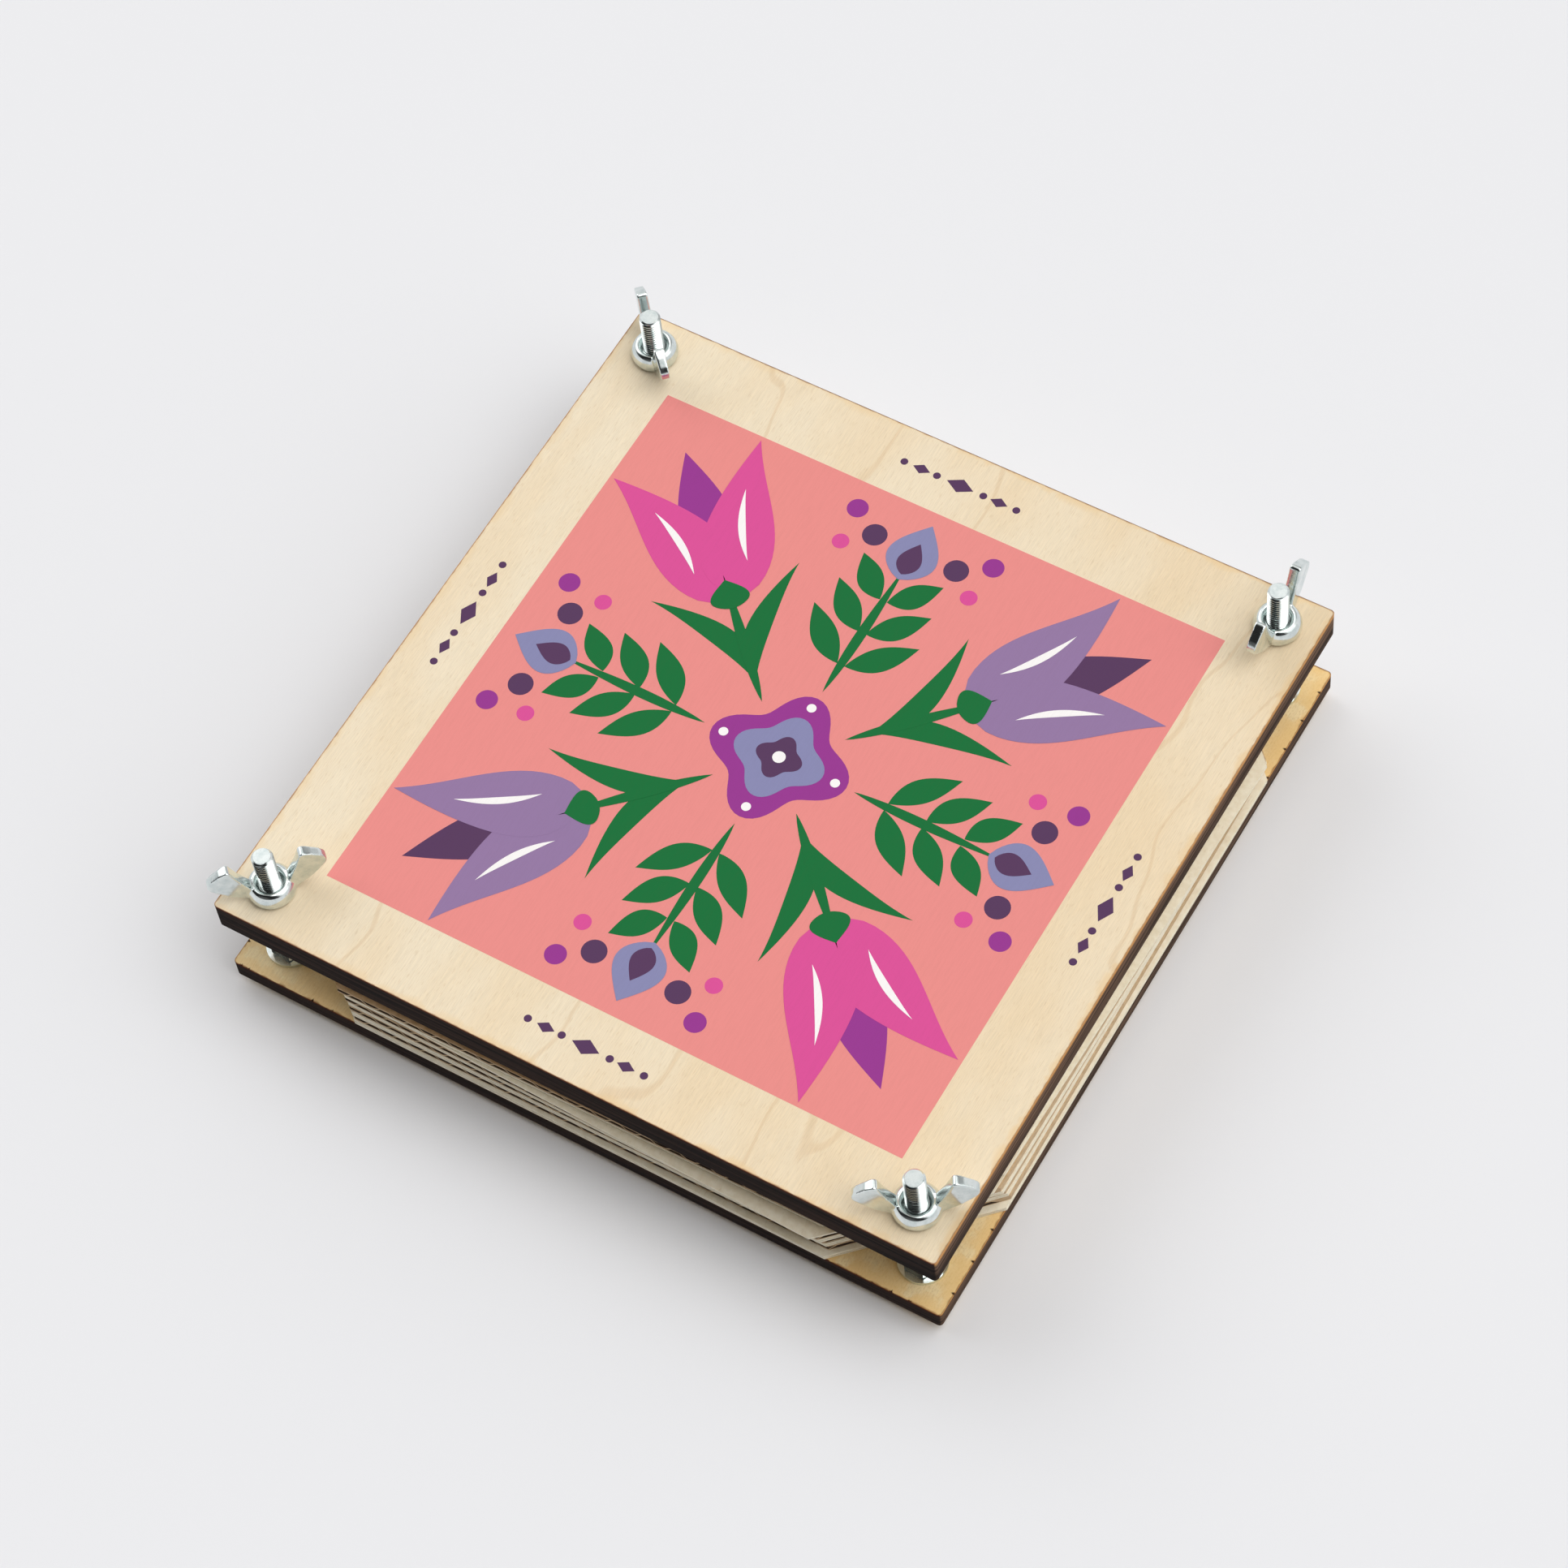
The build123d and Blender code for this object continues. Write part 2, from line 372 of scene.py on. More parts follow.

# %% [markdown]
# ## The plywood boards
# Both boards share the same build-up: wood colour from the grain, a little warmer towards the right, a
# stain and a thin brown halo beside each cut, and the charred edge itself, nearly black, with the plies as
# faint streaks. The edges at the left and right run along the grain of the face plies and are burnt a
# little lighter, tan at the top; part of that lighter char is painted light, as the right side faces the
# lamp. Painted shade darkens the side edges towards their bottom, and darkens the lower board's side
# edges more. The slats of the laser's bed also left small notches along the lower board. One function
# takes the colours of a board, and each board passes its own.

# %% Material: laser-cut plywood
slat_spacing = 8.4 * MM
notch_reach = 0.9 * MM
notch_half_width = 0.55 * MM
notch_height = 0.4 * MM
char_reach = 0.10 * MM
singe_height = 0.8 * MM
tan_start = 0.2 * MM
shade_start = 2.5 * MM
shade_end = 6.5 * MM
line_width = 0.012
blotch_share = 0.55
tick_share = 0.26
line_share = 0.24
fresh_share = 0.6
stain_share = 0.7
halo_share = 0.9
HALO_BROWN = srgb(136, 78, 34)
FRONT_CHAR = (srgb(20, 13, 12), srgb(52, 37, 31))
# The side char is lighter partly from burning along the grain and partly as painted light for the lit
# right side.
LIT_SIDE_CHAR = (srgb(62, 46, 37), srgb(122, 94, 75))
SIDE_TAN = srgb(206, 150, 92)
FRONT_RED = srgb(92, 44, 28)
NOTCH_BLACK = srgb(28, 19, 16)


def plywood(
    name,
    face_level,
    colours,
    halo_reach,
    halo_swing,
    stain_reach,
    notch_share,
    speckle_share,
    tan_depth,
    side_shade_tone,
):
    """A board's finish, from the level of its upper face, its colours, the reach of its burn and the
    painted shade on its side edges.
    """
    pale, warm, tick, line, stain = colours
    material, tree, shader = new_material(name)
    grain = use_group(tree, grain_group, {"Line Width": line_width})
    cut = use_group(
        tree,
        cut_group,
        {
            "Half Width": board_half,
            "Corner Radius": board_corner,
            "Bolt Offset": bolt_offset,
            "Hole Radius": hole_radius,
        },
    )
    place = node(tree, "ShaderNodeSeparateXYZ", {0: object_place(tree)}).outputs
    aged = remap(tree, place["X"], -board_half, board_half)
    blotched = calc(tree, "MULTIPLY", grain["Blotch"], blotch_share)
    warmth = calc(tree, "ADD", blotched, calc(tree, "MULTIPLY", aged, 1.0 - blotch_share))
    face = mix(tree, warmth, pale, warm)
    face = mix(tree, calc(tree, "MULTIPLY", grain["Ticks"], tick_share), face, tick)
    face = mix(tree, calc(tree, "MULTIPLY", grain["Lines"], line_share), face, line)
    worn = remap(tree, aged, 0.0, 0.6, fresh_share, 1.0)
    speckle = remap(tree, noise(tree, (0.42, 0.7, 0.42), detail=2.0), 0.46, 0.68)
    speckle = calc(tree, "MULTIPLY", speckle, worn)
    face = mix(tree, calc(tree, "MULTIPLY", speckle, speckle_share), face, tick)
    fibre_tone = remap(tree, grain["Fibre"], 0.3, 0.7, 0.94, 1.03)
    face = mix(tree, 1.0, face, fibre_tone, blend="MULTIPLY")

    patch = noise(tree, (6.0, 6.0, 6.0), detail=4.0)
    soak = calc(tree, "MULTIPLY", remap(tree, patch, 0.32, 0.68, 0.1, 1.6), stain_reach)
    soaked = remap(tree, calc(tree, "DIVIDE", cut["Distance"], soak), 0.0, 1.0, stain_share, 0.0)
    face = mix(tree, calc(tree, "MULTIPLY", soaked, worn), face, stain)
    flicker = noise(tree, (2.2, 2.2, 2.2), detail=3.0)
    swing = remap(tree, flicker, 0.30, 0.72, 1.0 - halo_swing, 1.0 + halo_swing)
    reach = calc(tree, "MULTIPLY", swing, halo_reach)
    halo = remap(tree, calc(tree, "DIVIDE", cut["Distance"], reach), 0.0, 1.0, halo_share, 0.0)
    face = mix(tree, halo, face, HALO_BROWN)

    ply = noise(tree, (40.0, 40.0, 0.8), detail=4.0, roughness=0.6)
    ply_share = remap(tree, ply, 0.36, 0.64)
    char_dark = mix(tree, ply_share, *FRONT_CHAR)
    # Lighter char for the left and right edges, partly painted light.
    lit_side_char = mix(tree, ply_share, *LIT_SIDE_CHAR)
    # Painted shade: the side edges darken towards their bottom, and the lower board's side edges are
    # darker still.
    painted_side_shade = remap(tree, place["Z"], face_level - shade_end, face_level - shade_start, 0.5, 1.0)
    lit_side_char = mix(tree, 1.0, lit_side_char, calc(tree, "MULTIPLY", painted_side_shade, side_shade_tone), blend="MULTIPLY")
    browned = remap(tree, place["Z"], face_level - tan_depth, face_level - tan_start)
    lit_side_char = mix(tree, browned, lit_side_char, SIDE_TAN)
    singed = remap(tree, place["Z"], face_level - singe_height, face_level)
    char_dark = mix(tree, singed, char_dark, FRONT_RED)
    char = mix(tree, cut["Side"], char_dark, lit_side_char)
    nick = remap(tree, noise(tree, (1.1, 60.0, 60.0), detail=2.0, offset=(5.0, 2.0, 0.0)), 0.60, 0.74)
    from_slat = calc(tree, "PINGPONG", place["Y"], slat_spacing / 2)
    nick = mix(tree, cut["Side"], nick, remap(tree, from_slat, 0.0, notch_half_width, 1.0, 0.0))
    upper_edge = (face_level - notch_height, face_level - char_reach)
    upper = remap(tree, place["Z"], *upper_edge, 0.0, notch_share)
    char = mix(tree, calc(tree, "MULTIPLY", nick, upper), char, NOTCH_BLACK)
    burn_depth = calc(tree, "ADD", calc(tree, "MULTIPLY", nick, notch_share * notch_reach), char_reach)
    burnt = remap(tree, calc(tree, "DIVIDE", cut["Distance"], burn_depth), 0.4, 1.0, 1.0, 0.0)
    tree.links.new(mix(tree, burnt, face, char), shader.inputs["Base Color"])

    tree.links.new(remap(tree, burnt, 0.0, 1.0, 0.55, 0.85), shader.inputs["Roughness"])
    shader.inputs["Specular IOR Level"].default_value = 0.12
    relief = calc(tree, "ADD", grain["Fibre"], calc(tree, "MULTIPLY", ply, burnt))
    tree.links.new(bump(tree, relief, 0.25, 0.06 * MM), shader.inputs["Normal"])
    return material


top_birch = plywood(
    "top_board_birch",
    face_level=top_high.z,
    colours=(
        srgb(238, 223, 196),
        srgb(235, 213, 178),
        srgb(206, 176, 134),
        srgb(206, 166, 116),
        srgb(232, 200, 150),
    ),
    halo_reach=0.42 * MM,
    halo_swing=0.35,
    stain_reach=1.8 * MM,
    notch_share=0.0,
    speckle_share=0.0,
    tan_depth=1.7 * MM,
    side_shade_tone=1.0,
)
base_birch = plywood(
    "base_board_birch",
    face_level=base_high.z,
    colours=(
        srgb(246, 226, 182),
        srgb(241, 217, 168),
        srgb(200, 162, 104),
        srgb(200, 156, 98),
        srgb(233, 194, 126),
    ),
    halo_reach=0.45 * MM,
    halo_swing=0.6,
    stain_reach=8.0 * MM,
    notch_share=1.0,
    speckle_share=0.28,
    tan_depth=0.5 * MM,
    side_shade_tone=0.72,
)
dress(top_birch, "top_board")
dress(base_birch, "base_board")
print("boards:", top_birch.name, base_birch.name)

# %% [markdown]
# ## Zinc-plated steel
# The bolts, nuts and washers are plated with zinc: bright, slightly blue, and never quite even, since
# the plating is tumbled in a barrel. A metal shows mostly what surrounds it, so the base colour is
# plain, and small noise in the roughness and a shallow bump break up the reflections.

# %% Material: zinc-plated steel
zinc, zinc_tree, zinc_shader = new_material("zinc_steel")
zinc_shader.inputs["Metallic"].default_value = 1.0
cloud = noise(zinc_tree, (2.4, 2.4, 2.4), detail=4.0, roughness=0.6)
zinc_tone = mix(zinc_tree, remap(zinc_tree, cloud, 0.35, 0.7), srgb(228, 234, 232), srgb(206, 216, 215))
zinc_tree.links.new(zinc_tone, zinc_shader.inputs["Base Color"])
zinc_tree.links.new(remap(zinc_tree, cloud, 0.3, 0.7, 0.10, 0.20), zinc_shader.inputs["Roughness"])
dimples = noise(zinc_tree, (1.3, 1.3, 1.3), detail=2.0)
zinc_tree.links.new(bump(zinc_tree, dimples, 0.02, 0.05 * MM), zinc_shader.inputs["Normal"])
for corner in CORNERS:
    dress(zinc, f"base_washer_{corner}", f"base_nut_{corner}")
print("metal:", zinc.name)

# %% [markdown]
# ## Paper fibres
# The cards and the papers are both made of pressed fibres: a fine mottle with a few darker or lighter
# hairs in it. One group gives the mottle and the hairs, and each paper mixes its own colours with them.
# It also finds the inside of the flutes in a card, where it paints shade: a point lies there
# when its height is between the two liners and its face doesn't stand upright like a cut edge.

# %% Group: paper fibres and painted flute shade
card_low, card_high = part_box("corrugated_card_1")
leaf_count = 5
papers_per_leaf = 3
leaf_pitch = (top_low.z - base_high.z) / leaf_count
liner = 0.25 * MM
hair_share = 0.35

fibre_group, fibre_in, fibre_out = new_group(
    "paper_fibres_and_flute_shade", ("Floor", "Pitch"), ("Mottle", "Hairs", "Flute Shade")
)
fibre_group.links.new(noise(fibre_group, (1.6, 1.6, 0.5), detail=4.0), fibre_out["Mottle"])
hair = noise(fibre_group, (0.3, 1.8, 0.3), detail=2.0, offset=(3.0, 7.0, 1.0))
fibre_group.links.new(remap(fibre_group, hair, 0.62, 0.76), fibre_out["Hairs"])
height = node(fibre_group, "ShaderNodeSeparateXYZ", {0: object_place(fibre_group)}).outputs["Z"]
lifted = calc(fibre_group, "SUBTRACT", height, fibre_in["Floor"])
level = calc(fibre_group, "MODULO", lifted, fibre_in["Pitch"])
cell_floor = card_low.z - base_high.z + liner
cell_roof = card_high.z - base_high.z - liner
near = 0.01 * MM
far = 0.04 * MM
# Painted shade: the inside of the flutes, between the liners and away from upright cut faces.
above = remap(fibre_group, level, cell_floor - far, cell_floor - near)
below = remap(fibre_group, level, cell_roof + near, cell_roof + far, 1.0, 0.0)
normal = node(fibre_group, "ShaderNodeTexCoord").outputs["Normal"]
upward = node(fibre_group, "ShaderNodeSeparateXYZ", {0: normal}).outputs["Z"]
tilted = remap(fibre_group, calc(fibre_group, "ABSOLUTE", upward), 0.3, 0.6)
between = calc(fibre_group, "MULTIPLY", above, below)
fibre_group.links.new(calc(fibre_group, "MULTIPLY", between, tilted), fibre_out["Flute Shade"])
print("group:", fibre_group.name)

# %% [markdown]
# The cards are brown kraft board, and the blotting papers are cream and soft. Neither shines, so both are
# rough, with a bump from the same mottle as their colour. A card also gets painted shade inside its
# flutes.

# %% Materials: kraft card and blotting paper


def paper(name, light, dark, hair_colour, flute_shade_colour=None):
    """A paper's finish from its colours; a hollow sheet also gets painted shade inside its flutes."""
    material, tree, shader = new_material(name)
    fibres = use_group(tree, fibre_group, {"Floor": base_high.z, "Pitch": leaf_pitch})
    tone = mix(tree, remap(tree, fibres["Mottle"], 0.3, 0.7), light, dark)
    tone = mix(tree, calc(tree, "MULTIPLY", fibres["Hairs"], hair_share), tone, hair_colour)
    # Painted shade inside a card's flutes.
    if flute_shade_colour:
        tone = mix(tree, fibres["Flute Shade"], tone, flute_shade_colour)
    tree.links.new(tone, shader.inputs["Base Color"])
    shader.inputs["Roughness"].default_value = 0.88
    tree.links.new(bump(tree, fibres["Mottle"], 0.3, 0.08 * MM), shader.inputs["Normal"])
    return material


kraft = paper(
    "kraft_card",
    light=srgb(204, 177, 142),
    dark=srgb(186, 157, 121),
    hair_colour=srgb(146, 116, 82),
    flute_shade_colour=srgb(84, 68, 54),
)
blotting = paper(
    "blotting_paper",
    light=srgb(243, 236, 216),
    dark=srgb(234, 224, 200),
    hair_colour=srgb(206, 190, 156),
)
dress(kraft, *[f"corrugated_card_{i + 1}" for i in range(leaf_count)])
dress(blotting, *[f"blotting_paper_{i + 1}" for i in range(leaf_count * papers_per_leaf)])
print(f"leaves {leaf_pitch / MM:.2f} mm each, {leaf_count} cards")

# %% [markdown]
# ## The bolts
# A machine screw is threaded up to its head. A bump could fake the thread, but here it stands against
# the light, so it is modelled: the section of one turn is an edge chain, and the Screw modifier winds
# it up the bolt. The tip is then pressed into its chamfer, both ends are cut flat and filled, and the
# pan head with its slot is added with a Boolean.

# %% Model one bolt
bolt_low, bolt_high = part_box("bolt_front_left")
head_radius = (bolt_high.x - bolt_low.x) / 2
head_top = base_low.z
thread_pitch = 0.8 * MM
thread_radius = 2.46 * MM
thread_root = 2.03 * MM
tip_radius = 1.9 * MM
thread_sink = 0.3 * MM
tip_trim = 0.01 * MM
cut_tolerance = 0.001 * MM
screw_steps = 40
bolt_tip = bolt_high.z


def thread_section():
    """The edge chain of one turn, from one root to the next."""
    stations = (
        (thread_root, 0.0),
        (thread_root, 0.22),
        (thread_radius, 0.54),
        (thread_radius, 0.68),
        (thread_root, 1.0),
    )
    bpy.ops.object.select_all(action="DESELECT")
    bpy.ops.mesh.primitive_circle_add(vertices=len(stations), fill_type="NOTHING")
    section = bpy.context.object
    for vertex, (radius, share) in zip(section.data.vertices, stations):
        vertex.co = (radius, 0, share * thread_pitch)
    with editing(section):
        bpy.ops.mesh.select_all(action="DESELECT")
        bpy.ops.object.mode_set(mode="OBJECT")
        for edge in section.data.edges:
            edge.select = set(edge.vertices) == {0, len(stations) - 1}
        bpy.ops.object.mode_set(mode="EDIT")
        bpy.ops.mesh.select_mode(type="EDGE")
        bpy.ops.mesh.delete(type="EDGE")
    return section


def press_tip(piece):
    """Keep the points near the tip inside its chamfer."""
    for vertex in piece.data.vertices:
        radius = math.hypot(vertex.co.x, vertex.co.y)
        limit = tip_radius + max(bolt_tip - vertex.co.z, 0)
        if radius > limit:
            vertex.co.x *= limit / radius
            vertex.co.y *= limit / radius


def cut_flat(piece, level, upwards):
    """Cut a piece at a level, drop what lies beyond and fill the cut."""
    with editing(piece):
        bpy.ops.mesh.bisect(
            plane_co=(0, 0, level),
            plane_no=(0, 0, 1),
            threshold=cut_tolerance,
            clear_outer=upwards,
            clear_inner=not upwards,
        )
        bpy.ops.mesh.edge_face_add()


shank_start = head_top - thread_sink
turns = math.ceil((bolt_tip - shank_start) / thread_pitch) + 3
bolt = thread_section()
bolt.name = "bolt_pattern"
apply_modifier(
    bolt,
    "SCREW",
    angle=2 * math.pi,
    steps=screw_steps,
    render_steps=screw_steps,
    screw_offset=thread_pitch,
    iterations=turns,
    use_merge_vertices=False,
)
for vertex in bolt.data.vertices:
    vertex.co.z += shank_start - thread_pitch * 1.5
close_up(bolt)
press_tip(bolt)
cut_flat(bolt, shank_start, upwards=False)
cut_flat(bolt, bolt_tip - tip_trim, upwards=True)
close_up(bolt)
print("thread:", turns, "turns,", len(bolt.data.polygons), "faces")

# %% [markdown]
# The pan head hides under the lower board, but the press is turned over now and then. Its section is
# spun around the axis, and the slot for a screwdriver is a thin block taken away.

# %% Model the head and add it to the bolt
slot_width = 1.2 * MM
slot_depth = 1.2 * MM
head_round = 0.5 * MM
spin_steps = 48
crease_angle = math.radians(28)


def spin_section(name, section, steps):
    """A closed section in the XZ plane, in metres, spun into a ring around the Z axis."""
    bpy.ops.object.select_all(action="DESELECT")
    bpy.ops.mesh.primitive_circle_add(vertices=len(section), fill_type="NOTHING")
    piece = bpy.context.object
    piece.name = name
    for vertex, (radius, level) in zip(piece.data.vertices, section):
        vertex.co = (radius, 0, level)
    with editing(piece):
        bpy.ops.mesh.spin(steps=steps, angle=2 * math.pi, axis=(0, 0, 1), center=(0, 0, 0))
    close_up(piece)
    return piece


def boolean(piece, tool, operation):
    """Add or take away another piece, which is then removed."""
    apply_modifier(piece, "BOOLEAN", object=tool, operation=operation, solver="EXACT")
    bpy.data.objects.remove(tool)


round_steps = 4
head_section = [(0, 0), (head_radius - head_round, 0)]
for i in range(1, round_steps + 1):
    angle = math.radians(90 * i / round_steps)
    radius = head_radius - head_round * (1 - math.sin(angle))
    head_section.append((radius, head_round * (1 - math.cos(angle))))
head_section += [(head_radius, head_top), (0, head_top)]
head = spin_section("head_pattern", head_section, spin_steps)
bpy.ops.object.select_all(action="DESELECT")
bpy.ops.mesh.primitive_cube_add(size=1, scale=(3 * head_radius, slot_width, 2 * slot_depth))
slot_block = bpy.context.object
boolean(head, slot_block, "DIFFERENCE")
boolean(bolt, head, "UNION")
close_up(bolt)
work_on(bolt)
bpy.ops.object.shade_smooth_by_angle(angle=crease_angle)
bolt.data.materials.clear()
bolt.data.materials.append(zinc)
print("bolt:", len(bolt.data.polygons), "faces")

# %% [markdown]
# Each bolt is a copy with its own mesh. No two threads start at the same place, so every copy is turned
# by another angle about its axis.

# %% Place the four bolts
bolt_turns = {"front_left": 0, "front_right": 70, "back_right": 160, "back_left": 215}
for corner in CORNERS:
    name = f"threaded_bolt_{corner}"
    copy = copy_at(bolt, name, bolt_axis(corner), math.radians(bolt_turns[corner]))
    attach(copy, "base")
    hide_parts(f"bolt_{corner}")
bpy.data.objects.remove(bolt)
print("bolts placed:", len(CORNERS))

# %% [markdown]
# ## The wing nuts
# A wing nut is cast or pressed in one piece, so its ring and wings flow into each other without a seam.
# Modelled by hand, that takes careful fillets. Here the ring is spun and the wings are extruded, a voxel
# remesh welds them into one skin, and a little smoothing rounds every edge as plating does.

# %% Model one wing nut
nut_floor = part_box("wing_nut_back_right")[0].z
ring_steps = 72
bore_radius = 2.55
ring_section = (
    (bore_radius, 0.0),
    (4.75, 0.0),
    (5.25, 0.35),
    (5.5, 1.1),
    (5.5, 2.1),
    (5.2, 3.0),
    (4.65, 3.85),
    (4.1, 4.3),
    (3.75, 4.4),
    (3.4, 4.2),
    (bore_radius, 3.1),
)
ring = spin_section("ring_pattern", [(r * MM, z * MM) for r, z in ring_section], ring_steps)


def bow(start, end, height, count):
    """Points on a shallow arc from start to end, its middle to the left by height; the end is left out."""
    run = Vector(end) - Vector(start)
    left = Vector((-run.y, run.x)).normalized()
    points = []
    for i in range(count):
        share = i / count
        points.append(Vector(start) + run * share + left * (4 * height * share * (1 - share)))
    return points


def rounded(points, index, radius, steps=6):
    """The outline with one corner replaced by a round."""
    corner = points[index]
    before = points[index - 1]
    after = points[(index + 1) % len(points)]
    start = corner + (before - corner).normalized() * radius
    end = corner + (after - corner).normalized() * radius
    arc = []
    for i in range(steps + 1):
        t = i / steps
        arc.append(start * (1 - t) ** 2 + corner * 2 * t * (1 - t) + end * t**2)
    return points[:index] + arc + points[index + 1 :]


wing_root_top = (3.0, 2.6)
wing_top = (7.9, 13.1)
wing_outer = (13.8, 8.7)
wing_root_bottom = (4.8, 0.9)
wing_top_round = 1.2
wing_outer_round = 1.8
wing_outline = bow(wing_root_top, wing_top, -0.4, 8)
top_index = len(wing_outline)
wing_outline += bow(wing_top, wing_outer, 0.5, 3)
outer_index = len(wing_outline)
wing_outline += bow(wing_outer, wing_root_bottom, 1.0, 6)
wing_outline.append(Vector(wing_root_bottom))
wing_outline = rounded(wing_outline, outer_index, wing_outer_round)
wing_outline = rounded(wing_outline, top_index, wing_top_round)
print("wing outline:", len(wing_outline), "points")

# %% [markdown]
# The wing is drawn as an outline standing upright, extruded to its thickness and then squeezed
# towards its end, so that it is thicker where it leaves the ring.

# %% Extrude the wings and weld the nut
root_thickness = 3.0
tip_thickness = 2.0
voxel = 0.17 * MM
smooth_passes = 14


def taper(piece):
    """Thin a wing from its root to its end."""
    for vertex in piece.data.vertices:
        share = (vertex.co.x / MM - wing_root_top[0]) / (wing_outer[0] - wing_root_top[0])
        vertex.co.y *= 1 + (tip_thickness / root_thickness - 1) * share


wing = shape_ring("wing_pattern", [(p.x, -root_thickness / 2, p.y) for p in wing_outline])
with editing(wing):
    bpy.ops.mesh.extrude_region_move(TRANSFORM_OT_translate={"value": (0, root_thickness * MM, 0)})
taper(wing)
close_up(wing)
other_wing = copy_at(wing, "other_wing", (0, 0, 0), math.pi)
nut = join([ring, wing, other_wing], "nut_pattern")
apply_modifier(nut, "REMESH", mode="VOXEL", voxel_size=voxel, adaptivity=0)
apply_modifier(nut, "SMOOTH", factor=0.5, iterations=smooth_passes)
work_on(nut)
bpy.ops.object.shade_smooth()
nut.data.materials.clear()
nut.data.materials.append(zinc)
print("wing nut:", len(nut.data.polygons), "faces")

# %% [markdown]
# The nuts came to rest at different angles when they were tightened, so every copy has a turn of its
# own. Each rides on its own body, because it also turns by itself when the press is opened.

# %% Place the four wing nuts
wing_turns = {"front_left": 45, "front_right": 31.5, "back_right": 90, "back_left": -45}
for corner in CORNERS:
    place = bolt_axis(corner) + Vector((0, 0, nut_floor))
    copy = copy_at(nut, f"cast_wing_nut_{corner}", place, math.radians(wing_turns[corner]))
    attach(copy, f"wing_nut_{corner}")
    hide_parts(f"wing_nut_{corner}")
bpy.data.objects.remove(nut)
print("wing nuts placed:", len(CORNERS))

# %% [markdown]
# ## Printing inks
# The panel on the top board is screen printed: flat opaque inks, each a thin film of its own. The film
# lets the grain show only as a trace. All inks share one group for that trace, and differ in colour.

# %% Group and materials: inks
trace_share = 0.035
TRACE_BROWN = srgb(90, 60, 50)

ink_group, ink_in, ink_out = new_group("ink_film", ("Grain Share",), ("Trace", "Relief"))
film = noise(ink_group, (0.3, 4.0, 0.3), detail=2.0)
trace = remap(ink_group, film, 0.35, 0.75)
ink_group.links.new(calc(ink_group, "MULTIPLY", trace, ink_in["Grain Share"]), ink_out["Trace"])
ink_group.links.new(film, ink_out["Relief"])


def ink(name, colour):
    """One printing ink."""
    material, tree, shader = new_material(name)
    film_parts = use_group(tree, ink_group, {"Grain Share": trace_share})
    tone = mix(tree, film_parts["Trace"], colour, TRACE_BROWN)
    tree.links.new(tone, shader.inputs["Base Color"])
    shader.inputs["Roughness"].default_value = 0.6
    shader.inputs["Specular IOR Level"].default_value = 0.15
    tree.links.new(bump(tree, film_parts["Relief"], 0.12, 0.04 * MM), shader.inputs["Normal"])
    return material


inks = {
    "salmon": ink("salmon_ink", srgb(233, 142, 137)),
    "pink": ink("pink_ink", srgb(218, 80, 150)),
    "magenta": ink("magenta_ink", srgb(151, 54, 143)),
    "lilac": ink("lilac_ink", srgb(147, 119, 161)),
    "plum": ink("plum_ink", srgb(87, 56, 92)),
    "green": ink("green_ink", srgb(13, 110, 54)),
    "mist": ink("mist_ink", srgb(136, 136, 176)),
    "white": ink("white_ink", srgb(248, 244, 242)),
}
print("inks:", ", ".join(inks))

# %% [markdown]
# ## Drawing the print
# The design is a folk tile: a four-lobed medallion, tulips on the diagonals and leafy sprigs between
# them. Every shape is a closed outline from a short formula. A circle primitive takes its points from
# the outline and is extruded by the thickness of one ink film, and each print layer lies on the last.

# %% Helpers for printed shapes
panel_half = 72.0
film_thickness = 0.02
print_floor = top_high.z / MM
printed = {name: [] for name in inks}


def leaf_outline(length, width, belly=1.0, lean=0.0, count=20):
    """A leaf from the origin to its tip along Y; belly moves the widest place, lean bends it."""
    right = []
    left = []
    for i in range(count + 1):
        t = i / count
        half = width / 2 * math.sin(math.pi * t**belly)
        right.append((lean * t * t + half, length * t))
        left.append((lean * t * t - half, length * t))
    return right + left[-2:0:-1]


def lobed_outline(radius, depth, lobes, count=72):
    """A round with lobes."""
    outline = []
    for i in range(count):
        angle = 2 * math.pi * i / count
        reach = radius * (1 - depth + depth * math.cos(lobes * angle))
        outline.append((reach * math.sin(angle), reach * math.cos(angle)))
    return outline


def shifted(outline, x, y, turn=0.0):
    """An outline turned about its origin, in degrees, and moved."""
    c = math.cos(math.radians(turn))
    s = math.sin(math.radians(turn))
    return [(x + c * px - s * py, y + s * px + c * py) for px, py in outline]


def stamp(colour, layer, outline, turns=(0,)):
    """Print an outline in an ink on a layer, repeated at turns, in degrees, about the panel's middle."""
    floor = print_floor + layer * film_thickness
    shape = shape_ring("print_shape", [(x, y, floor) for x, y in outline])
    with editing(shape):
        bpy.ops.mesh.extrude_region_move(TRANSFORM_OT_translate={"value": (0, 0, film_thickness * MM)})
        bpy.ops.mesh.select_all(action="SELECT")
        bpy.ops.mesh.normals_make_consistent(inside=False)
    for angle in turns:
        printed[colour].append(copy_at(shape, "print_copy", (0, 0, 0), math.radians(angle)))
    bpy.data.objects.remove(shape)


print("print area:", 2 * panel_half, "mm square")

# %% [markdown]
# The ground is one square of salmon ink. The medallion is three lobed rounds, each smaller and one layer
# higher than the last, with white dots. A cosine in the radius of a circle gives the lobes.

